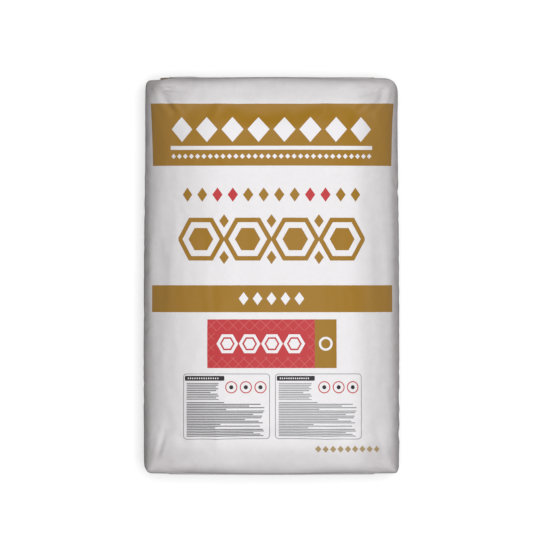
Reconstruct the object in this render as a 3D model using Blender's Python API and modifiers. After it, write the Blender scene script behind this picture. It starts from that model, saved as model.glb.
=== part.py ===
"""A full paper sack of cement, lying on its back with its printed face up.

The sack is a multi-ply paper tube whose ends are folded into blocks and pasted, each under a paper
cover strip. Behind the valve end lies the flattened filling sleeve. Metres, +Z up. The origin is on
the floor under the middle of the sack, +X is its width and +Y runs to its valve end.
"""

from math import radians

import bmesh
import bpy
from mathutils import Matrix

# Driving dimensions
WIDTH = 0.400
VALVE_END_WIDTH = 0.3955
LENGTH = 0.621
HEIGHT = 0.135
PAPER = 0.0005
PATCH_PAPER = 0.0005
SLEEVE_PAPER = 0.0008
GAP = 0.0003
POWDER_GAP = 0.0005

# The sack's soft form
EDGE_HEIGHT = 0.058          # height of the widest line above the floor
UNDERSIDE_DEPTH = 0.070      # how far the underside would hang below that line with no floor
FACE_POWER = 2.8             # roundness of the upper half of the section, where 2 is an ellipse
UNDERSIDE_POWER = 4.5        # the same for the lower half, which the powder presses to the floor
END_POWER = 7                # the same at the block ends, which are nearer a rectangle
PLAN_POWER = 20              # tightness of the corners seen from above
END_OVERSHOOT = 0.028        # how much longer the form is before its ends are pressed flat
END_DROP = 0.30              # how much of the crown is lost at the ends
END_LIFT = 0.10              # how far the underside curls up at the ends, as a share of its depth
MIDDLE_SPREAD = 0.012        # extra width of the middle, where rounding the cage takes some away
TAPER_FROM, TAPER_TO = -0.060, 0.240

# Cage of the form, as cells along X, Y and Z
CAGE_CELLS = (10, 10, 6)
CAGE_CROWDING = (2.0, 2.0, 2.0)   # over 1, the cells get smaller towards the edges
SMOOTHING_LEVELS = 1

# Cover strips on the ends
PATCH_LENGTH = 0.320
PATCH_WIDTH = 0.084
PATCH_CORNER = 0.012
PATCH_HEIGHT = 0.056         # height of their middle above the floor

# Filling sleeve, pressed flat behind the valve end with its mouth at the -X corner
SLEEVE_MOUTH_X = -0.166
SLEEVE_LENGTH = 0.130
SLEEVE_WIDTH = 0.072
POCKET_MARGIN = 0.001        # room around the sleeve in the powder
MOUTH_CUT = 0.004            # how far the mouth's cut reaches either side of the end's face

# Worked out from the above
SACK_LENGTH = LENGTH - 2 * (GAP + PATCH_PAPER)
END_PLANE = SACK_LENGTH / 2
SLEEVE_FACE = END_PLANE - PAPER - GAP
POCKET_DEPTH = PAPER + GAP + SLEEVE_PAPER + POWDER_GAP


def collection(name, rendered=True):
    made = bpy.data.collections.new(name)
    bpy.context.scene.collection.children.link(made)
    made.hide_render = not rendered
    return made


def material(name, colour, roughness):
    made = bpy.data.materials.new(name)
    made.use_nodes = True
    shader = made.node_tree.nodes["Principled BSDF"]
    shader.inputs["Base Color"].default_value = (*colour, 1.0)
    shader.inputs["Roughness"].default_value = roughness
    shader.inputs["Metallic"].default_value = 0.0
    return made


def place(name, mesh, group, finish=None):
    """A new object of this mesh, in the given collection."""
    made = bpy.data.objects.new(name, mesh)
    group.objects.link(made)
    if finish:
        mesh.materials.append(finish)
    return made


def cutter(name, low, high, group):
    """A box between two corners, which is cut out of a piece and not built."""
    mesh = bpy.data.meshes.new(name)
    bm = bmesh.new()
    bmesh.ops.create_cube(bm, size=1.0)
    sides = [b - a for a, b in zip(low, high)]
    middle = [(a + b) / 2 for a, b in zip(low, high)]
    bmesh.ops.transform(bm, matrix=Matrix.Diagonal((*sides, 1.0)), verts=bm.verts)
    bmesh.ops.translate(bm, vec=middle, verts=bm.verts)
    bm.to_mesh(mesh)
    bm.free()
    made = place(name, mesh, group)
    made.hide_render = True
    made.display_type = "WIRE"
    return made


def cut(piece, tool):
    """Takes the tool's shape out of the piece."""
    boolean = piece.modifiers.new(tool.name, "BOOLEAN")
    boolean.operation = "DIFFERENCE"
    boolean.solver = "EXACT"
    boolean.object = tool


def smooth_step(low, high, value):
    share = min(max((value - low) / (high - low), 0.0), 1.0)
    return share * share * (3 - 2 * share)


def crowded(share, power):
    """Moves a share from -1 to 1 towards the nearer end, so that cells there get smaller."""
    out = 1 - (1 - abs(share)) ** power
    return out if share >= 0 else -out


def sack_form(s, t, w):
    """The sack's point for a point of a cube that reaches from -1 to 1 along X, Y and Z."""
    to_end = abs(t) ** 4
    middle_power = FACE_POWER if w > 0 else UNDERSIDE_POWER
    power = middle_power + (END_POWER - middle_power) * to_end**2
    section = (abs(s) ** power + abs(w) ** power) ** (1 / power)
    reach = (section**PLAN_POWER + abs(t) ** PLAN_POWER) ** (1 / PLAN_POWER)
    y = (END_PLANE + END_OVERSHOOT / 2) * t / reach
    narrowing = (WIDTH - VALVE_END_WIDTH) / 2 * smooth_step(TAPER_FROM, TAPER_TO, y)
    x = (WIDTH / 2 - narrowing) * (1 + MIDDLE_SPREAD * (1 - to_end)) * s / reach
    if w > 0:
        rise = (HEIGHT - EDGE_HEIGHT) * (1 - END_DROP * to_end)
    else:
        rise = UNDERSIDE_DEPTH * (1 - END_LIFT * to_end**2)
    z = EDGE_HEIGHT + rise * w / reach
    return x, min(max(y, -END_PLANE), END_PLANE), max(z, 0.0)


def cut_into_cells(bm, axis, cells):
    """Cuts a box that reaches from -1 to 1 into equal cells along one axis."""
    normal = [0.0, 0.0, 0.0]
    normal[axis] = 1.0
    for step in range(1, cells):
        place_on_axis = [0.0, 0.0, 0.0]
        place_on_axis[axis] = -1 + 2 * step / cells
        everything = bm.verts[:] + bm.edges[:] + bm.faces[:]
        bmesh.ops.bisect_plane(bm, geom=everything, plane_co=place_on_axis, plane_no=normal)


def sack_cage(name):
    """The coarse cage that Subdivision Surface rounds into the sack's outer form."""
    bm = bmesh.new()
    bmesh.ops.create_cube(bm, size=2.0)
    for axis, cells in enumerate(CAGE_CELLS):
        cut_into_cells(bm, axis, cells)
    for vert in bm.verts:
        shares = [crowded(c, power) for c, power in zip(vert.co, CAGE_CROWDING)]
        vert.co = sack_form(*shares)
    bmesh.ops.recalc_face_normals(bm, faces=bm.faces)
    mesh = bpy.data.meshes.new(name)
    bm.to_mesh(mesh)
    bm.free()
    return mesh


def rounded(piece):
    """Rounds a cage, then scales it so that the rounded form has the sack's real width and height."""
    smoothing = piece.modifiers.new("rounding", "SUBSURF")
    smoothing.levels = SMOOTHING_LEVELS
    smoothing.render_levels = SMOOTHING_LEVELS
    bpy.context.view_layer.update()
    evaluated = piece.evaluated_get(bpy.context.evaluated_depsgraph_get())
    form = evaluated.to_mesh()
    half_width = max(vert.co.x for vert in form.vertices)
    height = max(vert.co.z for vert in form.vertices)
    evaluated.to_mesh_clear()
    piece.data.transform(Matrix.Diagonal((WIDTH / 2 / half_width, 1.0, HEIGHT / height, 1.0)))
    piece.data.polygons.foreach_set("use_smooth", [True] * len(piece.data.polygons))


def paper_sack(group, cutters, finish):
    """The paper skin, open only at the valve's mouth."""
    sack = place("paper_sack", sack_cage("paper_sack"), group, finish)
    rounded(sack)
    wall = sack.modifiers.new("paper", "SOLIDIFY")
    wall.thickness = PAPER
    wall.offset = -1.0
    half_slot = SLEEVE_PAPER / 2 + GAP
    half_mouth = SLEEVE_WIDTH / 2 + GAP
    low = (SLEEVE_MOUTH_X - half_slot, END_PLANE - MOUTH_CUT, PATCH_HEIGHT - half_mouth)
    high = (SLEEVE_MOUTH_X + half_slot, END_PLANE + MOUTH_CUT, PATCH_HEIGHT + half_mouth)
    cut(sack, cutter("valve_mouth", low, high, cutters))


def cement_fill(group, cutters, finish):
    """The powder, a plain core that fills the sack, with a shallow pocket for the sleeve."""
    fill = place("cement_fill", sack_cage("cement_fill"), group, finish)
    rounded(fill)
    inset = fill.modifiers.new("inset", "DISPLACE")
    inset.mid_level = 0.0
    inset.strength = -(PAPER + POWDER_GAP)
    half_pocket = SLEEVE_WIDTH / 2 + POCKET_MARGIN
    left = SLEEVE_MOUTH_X - SLEEVE_PAPER / 2 - POCKET_MARGIN
    right = SLEEVE_MOUTH_X + SLEEVE_LENGTH + POCKET_MARGIN
    low = (left, END_PLANE - POCKET_DEPTH, PATCH_HEIGHT - half_pocket)
    high = (right, END_PLANE, PATCH_HEIGHT + half_pocket)
    cut(fill, cutter("sleeve_pocket", low, high, cutters))


def flat_outline(name, points, thickness):
    """A flat curve outline of straight sides, filled and given a thickness along its own Z."""
    curve = bpy.data.curves.new(name, "CURVE")
    curve.dimensions = "2D"
    curve.fill_mode = "BOTH"
    curve.extrude = thickness / 2
    spline = curve.splines.new("POLY")
    spline.points.add(len(points) - 1)
    for point, (across, along) in zip(spline.points, points):
        point.co = (across, along, 0.0, 1.0)
    spline.use_cyclic_u = True
    return curve


def meshed(name, curve, matrix, group, finish):
    """The curve made a closed mesh, moved to its place."""
    guide = bpy.data.objects.new(name, curve)
    bpy.context.scene.collection.objects.link(guide)
    bpy.context.view_layer.update()
    graph = bpy.context.evaluated_depsgraph_get()
    mesh = bpy.data.meshes.new_from_object(guide.evaluated_get(graph))
    bpy.data.objects.remove(guide)
    bm = bmesh.new()
    bm.from_mesh(mesh)
    bmesh.ops.remove_doubles(bm, verts=bm.verts, dist=0.00001)
    bmesh.ops.recalc_face_normals(bm, faces=bm.faces)
    bm.to_mesh(mesh)
    bm.free()
    mesh.materials.clear()
    place(name, mesh, group, finish).matrix_world = matrix


def end_patch(name, side, group, finish):
    """The cover strip on one end, side +1 for the valve end and -1 for the other, corners cut off."""
    half_long, half_wide = PATCH_LENGTH / 2, PATCH_WIDTH / 2
    corners = []
    for sx, sz in ((1, 1), (-1, 1), (-1, -1), (1, -1)):
        on_long_side = (sx * (half_long - PATCH_CORNER), sz * half_wide)
        on_short_side = (sx * half_long, sz * (half_wide - PATCH_CORNER))
        corners += [on_short_side, on_long_side] if sx * sz > 0 else [on_long_side, on_short_side]
    curve = flat_outline(name, corners, PATCH_PAPER)
    middle = END_PLANE + GAP + PATCH_PAPER / 2
    at_end = Matrix.Translation((0, side * middle, PATCH_HEIGHT))
    meshed(name, curve, at_end @ Matrix.Rotation(radians(90), 4, "X"), group, finish)


def valve_sleeve(group, finish):
    """The flattened sleeve behind the valve end, seen from above an L whose foot is its mouth."""
    half = SLEEVE_PAPER / 2
    back = SLEEVE_FACE - SLEEVE_PAPER
    tip = END_PLANE + GAP + PATCH_PAPER
    outline = [
        (SLEEVE_MOUTH_X - half, back),
        (SLEEVE_MOUTH_X + SLEEVE_LENGTH, back),
        (SLEEVE_MOUTH_X + SLEEVE_LENGTH, SLEEVE_FACE),
        (SLEEVE_MOUTH_X + half, SLEEVE_FACE),
        (SLEEVE_MOUTH_X + half, tip),
        (SLEEVE_MOUTH_X - half, tip),
    ]
    curve = flat_outline("valve_sleeve", outline, SLEEVE_WIDTH)
    meshed("valve_sleeve", curve, Matrix.Translation((0, 0, PATCH_HEIGHT)), group, finish)


def main():
    for old in list(bpy.data.objects):
        bpy.data.objects.remove(old)
    bag = collection("cement_bag")
    cutters = collection("cutters", rendered=False)
    white_paper = material("white_kraft_paper", (0.80, 0.79, 0.78), 0.62)
    patch_paper = material("patch_paper", (0.78, 0.77, 0.75), 0.68)
    sleeve_paper = material("brown_kraft_paper", (0.38, 0.25, 0.14), 0.75)
    powder = material("grey_cement_powder", (0.36, 0.35, 0.33), 0.95)
    paper_sack(bag, cutters, white_paper)
    cement_fill(bag, cutters, powder)
    valve_sleeve(bag, sleeve_paper)
    end_patch("top_patch", 1, bag, patch_paper)
    end_patch("bottom_patch", -1, bag, patch_paper)


main()
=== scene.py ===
"""The looks of a full paper sack of cement that lies on its back with its printed face up.

The sack starts as the plump form that its block ends and its powder give it. A cloth simulation with
spare paper at the edges then creases it. The end strips, the folded end flaps, the filling sleeve and
the back seam are laid on that creased form, and the print is drawn on the paper's own flat map.
Metres, +Z up, +X across the printed face and +Y to the valve end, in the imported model's frame.
"""

import logging
import math
from dataclasses import dataclass
from enum import Enum
from functools import partial
from typing import Any, Callable, ClassVar, Iterable

import bpy
import numpy as np
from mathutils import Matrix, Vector
from mathutils.bvhtree import BVHTree


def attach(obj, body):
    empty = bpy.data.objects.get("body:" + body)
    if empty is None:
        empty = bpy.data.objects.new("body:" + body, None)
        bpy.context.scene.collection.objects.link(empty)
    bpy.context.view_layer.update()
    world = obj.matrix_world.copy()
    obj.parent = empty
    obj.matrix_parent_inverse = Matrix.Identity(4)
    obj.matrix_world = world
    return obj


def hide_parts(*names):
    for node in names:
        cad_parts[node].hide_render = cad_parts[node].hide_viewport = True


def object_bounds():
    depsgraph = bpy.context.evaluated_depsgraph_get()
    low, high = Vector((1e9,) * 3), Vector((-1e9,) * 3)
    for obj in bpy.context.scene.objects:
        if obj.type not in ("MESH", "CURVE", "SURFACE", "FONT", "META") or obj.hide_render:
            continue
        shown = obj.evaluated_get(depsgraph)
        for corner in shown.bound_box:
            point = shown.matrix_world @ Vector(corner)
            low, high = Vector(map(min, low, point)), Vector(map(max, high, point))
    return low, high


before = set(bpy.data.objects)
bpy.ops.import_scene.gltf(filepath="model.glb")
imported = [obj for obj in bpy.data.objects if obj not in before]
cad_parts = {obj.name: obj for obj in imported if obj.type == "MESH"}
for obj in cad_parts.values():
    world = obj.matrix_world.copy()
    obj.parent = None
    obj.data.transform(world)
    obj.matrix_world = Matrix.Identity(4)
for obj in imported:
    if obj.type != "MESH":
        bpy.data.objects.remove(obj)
CAD_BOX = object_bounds()

LOG = logging.getLogger("cement_sack")
MM = 0.001
BODY = "root"
PAPER_MAP = "paper"       # UV map with each point's place on the flat paper, in metres
DUST_AND_SHADE = "dust_and_shade"             # attribute with how much dust and painted shade a point has, from 0 to 1
SHARPEST = 50.0           # degrees between faces, past which paper shows an edge
ATTRIBUTE = "ShaderNodeAttribute"
BUMP = "ShaderNodeBump"
MATH = "ShaderNodeMath"
MIX = "ShaderNodeMix"
NOISE = "ShaderNodeTexNoise"
RAMP = "ShaderNodeMapRange"
SPLIT = "ShaderNodeSeparateXYZ"
VECTOR_MATH = "ShaderNodeVectorMath"

Socket = bpy.types.NodeSocket
Range = tuple[float, float]


class Corner(Enum):
    """The sack's corners seen from above, as the signs of X and Y."""

    VALVE = (-1, 1)
    VALVE_FAR = (1, 1)
    BASE_LEFT = (-1, -1)
    BASE_RIGHT = (1, -1)


class End(Enum):
    """The sack's two block ends, as the sign of Y."""

    VALVE = 1
    BASE = -1


class Ink(Enum):
    """The inks of the print, as sRGB hex."""

    GOLD = "9A711C"
    RED = "BA3338"
    ROSE = "C65A5C"
    BLACK = "232023"
    GREY = "66676A"
    PALE_GREY = "88898C"
    TAN = "A48D62"


def linear(hex_colour: str) -> tuple[float, float, float, float]:
    """Turns an sRGB hex colour to the linear colour that a shader takes.

    Args:
        hex_colour: Six hex digits.

    Returns:
        Red, green, blue and an alpha of 1.
    """
    shares = [int(hex_colour[at:at + 2], 16) / 255 for at in (0, 2, 4)]
    straight = [c / 12.92 if c <= 0.04045 else ((c + 0.055) / 1.055) ** 2.4 for c in shares]
    return (*straight, 1.0)


def deselect_all() -> None:
    """Leaves nothing selected."""
    for each in bpy.context.selected_objects:
        each.select_set(False)


def make_active(piece: bpy.types.Object) -> None:
    """Selects one object alone and makes it the active one.

    Args:
        piece: The object.
    """
    deselect_all()
    piece.select_set(True)
    bpy.context.view_layer.objects.active = piece


def apply_modifier(piece: bpy.types.Object, name: str) -> None:
    """Applies one modifier to its object's mesh."""
    make_active(piece)
    bpy.ops.object.modifier_apply(modifier=name)


def shape_with(piece: bpy.types.Object, kind: str, **settings: Any) -> None:
    """Adds a modifier with its settings and applies it.

    Args:
        piece: The object whose mesh it shapes.
        kind: The modifier's type.
        settings: The modifier's own settings.
    """
    added = piece.modifiers.new(kind.lower(), kind)
    for name, value in settings.items():
        setattr(added, name, value)
    apply_modifier(piece, added.name)


def thicken(sheet: bpy.types.Object, paper: float) -> None:
    """Gives a sheet or a tube its paper's thickness, outwards, and shades it.

    Args:
        sheet: The sheet or tube.
        paper: The thickness.
    """
    shape_with(sheet, "SOLIDIFY", thickness=paper, offset=1.0)
    make_active(sheet)
    bpy.ops.object.shade_smooth_by_angle(angle=math.radians(SHARPEST))


def read(items: Any, name: str, width: int, kind: type = np.float32) -> np.ndarray:
    """Reads one property of every item in a mesh's collection.

    Args:
        items: The collection, such as a mesh's vertices.
        name: The property.
        width: How many numbers it holds.
        kind: The type of its numbers.

    Returns:
        A row for each item.
    """
    flat = np.empty(len(items) * width, kind)
    items.foreach_get(name, flat)
    return flat.reshape(-1, width)


def points_of(mesh: bpy.types.Mesh) -> np.ndarray:
    """Returns a mesh's vertices as rows of X, Y and Z."""
    return read(mesh.vertices, "co", 3).astype(float)


def set_points(mesh: bpy.types.Mesh, points: np.ndarray) -> None:
    """Moves a mesh's vertices to these rows of X, Y and Z."""
    mesh.vertices.foreach_set("co", points.astype(np.float32).ravel())
    mesh.update()


def write_dust_and_shade(mesh: bpy.types.Mesh, dust_and_shade: np.ndarray) -> None:
    """Writes how much dust and painted shade each vertex has, from 0 to 1, as an attribute."""
    marked = mesh.attributes.new(DUST_AND_SHADE, "FLOAT", "POINT")
    marked.data.foreach_set("value", dust_and_shade.astype(np.float32))


def averaged(mesh: bpy.types.Mesh, values: np.ndarray, rounds: int,
             share: np.ndarray | None = None) -> np.ndarray:
    """Averages values at a mesh's vertices with their neighbours' values.

    Args:
        mesh: The mesh whose edges say which vertices are neighbours.
        values: One row for each vertex.
        rounds: How many times.
        share: How far each vertex goes to its neighbours' average, all the way if left out.

    Returns:
        The averaged rows.
    """
    ends = read(mesh.edges, "vertices", 2, int)
    first, second = ends.T
    count = np.bincount(ends.ravel(), minlength=len(values))[:, None]
    share = np.ones(len(values)) if share is None else share
    for _ in range(rounds):
        total = np.zeros_like(values)
        np.add.at(total, first, values[second])
        np.add.at(total, second, values[first])
        values = values + (total / count - values) * share[:, None]
    return values


def smooth_step(low: float, high: float, value: np.ndarray) -> np.ndarray:
    """Rises smoothly from 0 at low to 1 at high, which may be the smaller of the two."""
    share = np.clip((value - low) / (high - low), 0.0, 1.0)
    return share * share * (3 - 2 * share)


def nearest_paper(sack: bpy.types.Object,
                  places: np.ndarray) -> tuple[np.ndarray, np.ndarray, tuple[int, ...]]:
    """Finds the sack's own paper nearest to each place.

    Args:
        sack: The sack.
        places: Rows of X, Y and Z.

    Returns:
        The nearest points, the paper's normals there, and the numbers of the faces.
    """
    surface = BVHTree.FromObject(sack, bpy.context.evaluated_depsgraph_get())
    points, normals, faces, _ = zip(*[surface.find_nearest(Vector(place)) for place in places])
    return np.array(points), np.array(normals), faces


def even_normals(mesh: bpy.types.Mesh, normals: np.ndarray, rounds: int) -> np.ndarray:
    """Averages normals over a mesh and gives them their unit length back."""
    evened = averaged(mesh, normals, rounds)
    return evened / np.linalg.norm(evened, axis=1, keepdims=True)


def take_dust_and_shade(sheet: bpy.types.Object, sack: bpy.types.Object, held: float) -> None:
    """Gives a pasted sheet the dust and painted shade of the paper beneath it.

    Args:
        sheet: The sheet, in its place.
        sack: The sack, with its dust and painted shade marked.
        held: The sheet's dust and painted shade as a share of the sack's.
    """
    marked = sack.data.attributes[DUST_AND_SHADE].data
    faces = nearest_paper(sack, points_of(sheet.data))[2]
    beneath = [marked[sack.data.polygons[face].vertices[0]].value for face in faces]
    write_dust_and_shade(sheet.data, held * np.array(beneath))


def cut_along(piece: bpy.types.Object, axis: int, cells: int) -> None:
    """Cuts the edges that run along one axis, and the faces between them, into equal cells.

    Args:
        piece: The object.
        axis: 0, 1 or 2 for X, Y or Z.
        cells: How many cells.
    """
    mesh = piece.data
    for group in (mesh.vertices, mesh.edges, mesh.polygons):
        group.foreach_set("select", [False] * len(group))
    first, second = read(mesh.edges, "vertices", 2, int).T
    places = points_of(mesh)
    run = np.abs(places[first] - places[second])
    mesh.edges.foreach_set("select", (run[:, axis] > 0.999 * run.sum(axis=1)).tolist())
    bpy.context.tool_settings.mesh_select_mode = (False, True, False)
    bpy.ops.object.mode_set(mode="EDIT")
    bpy.ops.mesh.subdivide(number_cuts=cells - 1)
    bpy.ops.object.mode_set(mode="OBJECT")


@dataclass(frozen=True)
class SackForm:
    """The plump form of the full sack before it creases."""

    width: float = CAD_BOX[1].x - CAD_BOX[0].x
    valve_end_width: float = 0.3955
    length: float = CAD_BOX[1].y - CAD_BOX[0].y
    height: float = CAD_BOX[1].z - CAD_BOX[0].z
    edge_height: float = 0.058       # height of the widest line above the floor
    underside_depth: float = 0.070   # how far it would hang below that line with no floor
    face_powers: Range = (3.4, 1.5)            # the section's upper half, across and up
    underside_powers: Range = (4.5, 4.5)       # its lower half
    end_face_powers: Range = (4.4, 2.1)        # the upper half at the block ends
    end_underside_powers: Range = (5.5, 4.0)
    end_power: float = 4.0           # how near the ends the section changes
    plan_power: float = 60.0         # tightness of the edges around the ends
    end_drop: float = 0.30           # share of the crown that is lost at the ends
    end_drop_power: float = 7.0      # how near the ends that happens
    end_lift: float = 0.10           # share of the underside's depth that curls up at the ends
    taper: Range = (-0.060, 0.240)   # where along the sack it narrows to the valve end
    samples: int = 1440              # points that a section is measured with

    @property
    def narrowing(self) -> float:
        """How much narrower each side is at the valve end."""
        return (self.width - self.valve_end_width) / 2

    def half_width(self, along: np.ndarray | float) -> np.ndarray | float:
        """Returns half the sack's width at each place along it, in metres from its middle."""
        return self.width / 2 - self.narrowing * smooth_step(*self.taper, along)

    def section(self, along: float, count: int) -> np.ndarray:
        """Works out the cross-section at one place along the sack.

        Args:
            along: The place, from -1 at the base end to 1 at the valve end.
            count: How many points go around.

        Returns:
            Rows of X and Z, evenly spaced around the paper from the face's centre line to the right.
        """
        to_end = abs(along) ** self.end_power
        turn = np.linspace(0.0, 2 * np.pi, self.samples + 1)
        sine, cosine = np.sin(turn), np.cos(turn)
        upper = (cosine > 0)[:, None]
        powers = np.where(upper, self.face_powers, self.underside_powers)
        last = np.where(upper, self.end_face_powers, self.end_underside_powers)
        powers = powers + (last - powers) * to_end**2
        rise = (self.height - self.edge_height) * (1 - self.end_drop * abs(along) ** self.end_drop_power)
        depth = self.underside_depth * (1 - self.end_lift * to_end**2)
        half_width = self.half_width(along * self.length / 2)
        x = half_width * np.sign(sine) * np.abs(sine) ** (2 / powers[:, 0])
        z = np.where(cosine > 0, rise, depth) * np.sign(cosine) * np.abs(cosine) ** (2 / powers[:, 1])
        z = np.maximum(z + self.edge_height, 0.0)
        steps = np.hypot(np.diff(x), np.diff(z))
        around = np.concatenate([[0.0], np.cumsum(steps)])
        even = np.linspace(0.0, around[-1], count + 1)[:-1]
        return np.column_stack([np.interp(even, around, x), np.interp(even, around, z)])


@dataclass(frozen=True)
class Trim:
    """How a corner of the sack's outline is taken off, in metres."""

    corner: Corner
    chamfer: Range = (0.0, 0.0)       # along X and along Y
    radius: float = 0.0


@dataclass(frozen=True)
class DustAndShadeBand:
    """A band of paper darkened with dust and painted shade, by its distance from a centre line of the paper.
    """

    most: float
    rise: Range                       # from clean paper to the most dust
    fall: Range | None = None         # from the most dust back to clean paper

    def dust_and_painted_shade(self, distance: np.ndarray) -> np.ndarray:
        """Returns the dust and painted shade at each distance, from 0 to 1."""
        dust_and_painted_shade = self.most * smooth_step(*self.rise, distance)
        return dust_and_painted_shade if self.fall is None else dust_and_painted_shade * smooth_step(self.fall[1], self.fall[0], distance)


class SubAssembly:
    """What all sub-assemblies share: the dressing of their pieces."""

    slot: ClassVar[str]
    cad_nodes: ClassVar[dict[str, str]] = {}   # the CAD node that a piece stands for, by the piece's name

    def dress(self, piece: bpy.types.Object, finish: bpy.types.Material) -> None:
        """Gives a piece its material and its body, and hides the CAD node that it stands for.

        Args:
            piece: The finished piece.
            finish: Its material.
        """
        piece.data.materials.clear()
        piece.data.materials.append(finish)
        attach(piece, BODY)
        if piece.name in self.cad_nodes:
            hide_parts(self.cad_nodes[piece.name])


@dataclass
class PaperSack(SubAssembly):
    """The filled sack's outer paper skin, creased by the powder's weight."""

    slot = "white_kraft_paper"
    cad_nodes = {"paper_sack_skin": "paper_sack"}

    form: SackForm = SackForm()
    cells: tuple[int, int, int] = (62, 96, 22)
    end_crowding: float = 1.25        # over 1, the rows get closer towards the ends
    lift: float = 0.0008              # height of the underside above the floor, for the back seam
    fill: float = 0.9                 # how full the sack is
    edge_rounds: int = 9              # rounds of smoothing at the upper edges of the ends
    edge_reach: Range = (0.048, 0.018)       # those edges, by how far they are from the end
    edge_heights: Range = (0.070, 0.100)     # and by their height

    # Cloth
    held: Range = (0.150, 0.285)      # half sizes of the underside that the floor holds
    frames: int = 18
    steps: int = 8
    pressure: float = 1.0
    powder_density: float = 1.48      # kilograms per litre
    vertex_mass: float = 0.0005
    air_damping: float = 2.0
    stretch: float = 5000.0
    shear: float = 1000.0
    bending: float = 2.0
    end_bending: float = 30.0
    spare_paper: float = 0.0035
    corner_spare: float = 0.022
    spare_reach: float = 0.110        # how far from the corners the spare paper reaches
    spare_rim: Range = (0.010, 0.012)        # from the sides and the ends, past which it is the most
    stiff_rim: Range = (0.012, 0.002)        # from the ends, where the folded paper gets stiff
    most_moved: float = 0.018
    bulge_rounds: int = 30            # rounds of smoothing that tell a broad bulge from a crease
    bulge_kept: float = 0.35

    # Outline
    side_bands: int = 24              # points along a side, between which its reach is measured
    end_bands: int = 18               # the same across an end
    end_inset: float = 0.0013         # from the outermost strip back to the sack's own end
    trims: tuple[Trim, ...] = (
        Trim(Corner.VALVE, radius=0.017),
        Trim(Corner.VALVE_FAR, radius=0.023),
        Trim(Corner.BASE_LEFT, chamfer=(0.0092, 0.0125)),
        Trim(Corner.BASE_RIGHT, chamfer=(0.0058, 0.0095)),
    )
    trim_softness: float = 0.0008
    squared: float = 0.75             # how far a folded corner is drawn out square before it is cut
    squared_reach: float = 0.030

    # A shallow hollow behind the open mouth of the filling sleeve, on the valve end
    hollow: Range = (-0.178, 0.056)
    hollow_reach: Range = (0.016, 0.034)
    hollow_depth: float = 0.003
    hollow_start: Range = (0.285, 0.300)     # along the sack, so that only the end is pressed in

    # Sharp creases that fan out over the paper from a hub on the face and one on each side
    crease_seed: int = 41
    crease_hubs: tuple[Range, Range] = ((0.186, 1.0), (0.292, -1.0))   # across, and which way they turn
    hub_along: float = 0.296
    creases: int = 12                 # from each hub
    crease_turns: Range = (8.0, 95.0)        # degrees from the sack's length
    crease_starts: Range = (0.002, 0.014)    # from the hub
    crease_lengths: Range = (0.018, 0.070)
    crease_widths: Range = (4.0 * MM, 7.0 * MM)
    crease_depths: Range = (0.9 * MM, 1.8 * MM)   # the deepest at the base and valve corners
    shallowest: float = 0.3           # as a share of the deepest

    # Short creases down each long side
    buckles: int = 22
    buckle_starts: Range = (0.206, 0.226)    # across the paper
    buckle_span: Range = (-0.270, 0.270)     # along it
    buckle_runs: Range = (0.020, 0.046)
    buckle_leans: Range = (-0.022, 0.022)
    buckle_widths: Range = (4.5 * MM, 8.5 * MM)
    buckle_depth: float = 0.9 * MM
    most_sunk: float = 0.5 * MM       # how far a crease may stand out below the underside

    # Dust, and painted shade on the shoulders, the sides, the ends and down the left side
    # painted shade over the face's shoulders, with some dust
    shoulder_dust_and_shade: DustAndShadeBand = DustAndShadeBand(0.30, (0.120, 0.165))
    # painted shade down the left side, which is turned away from the light
    left_shade: DustAndShadeBand = DustAndShadeBand(0.22, (0.060, 0.150))
    left_shade_start: float = 0.02          # from the centre line to where the left side's painted shade is whole
    # dust and painted shade down the long sides
    side_dust_and_shade: DustAndShadeBand = DustAndShadeBand(0.62, (0.188, 0.222), (0.235, 0.290))
    # dust and painted shade towards both ends
    end_dust_and_shade: DustAndShadeBand = DustAndShadeBand(0.30, (0.250, 0.285))
    rim_dust_and_shade: DustAndShadeBand = DustAndShadeBand(0.22, (0.292, 0.310), (0.316, 0.345))   # dust and painted shade at the ends' upper edges
    spout_place: Range = (-0.192, 0.300)     # where the filling spout leaves its dust, and where the valve corner's shade is painted
    spout_dust_and_shade: float = 0.75
    spout_reach: Range = (0.026, 0.002)

    def build(self) -> bpy.types.Object:
        """Makes the sack, creases it and smooths it.

        Returns:
            The finished piece with its paper map.
        """
        deselect_all()
        bpy.ops.mesh.primitive_cube_add(size=2.0)
        sack = bpy.context.object
        sack.name = sack.data.name = "paper_sack_skin"
        for axis, count in enumerate(self.cells):
            cut_along(sack, axis, count)
        self.shape(sack)
        self.crease(sack)
        self.fit(sack)
        shape_with(sack, "SUBSURF", levels=1, render_levels=1)
        paper = self.flat_places(sack.data)
        self.pucker(sack, paper)
        self.mark_dust_and_shade(sack, paper)
        sack.data.shade_smooth()
        return sack

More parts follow.
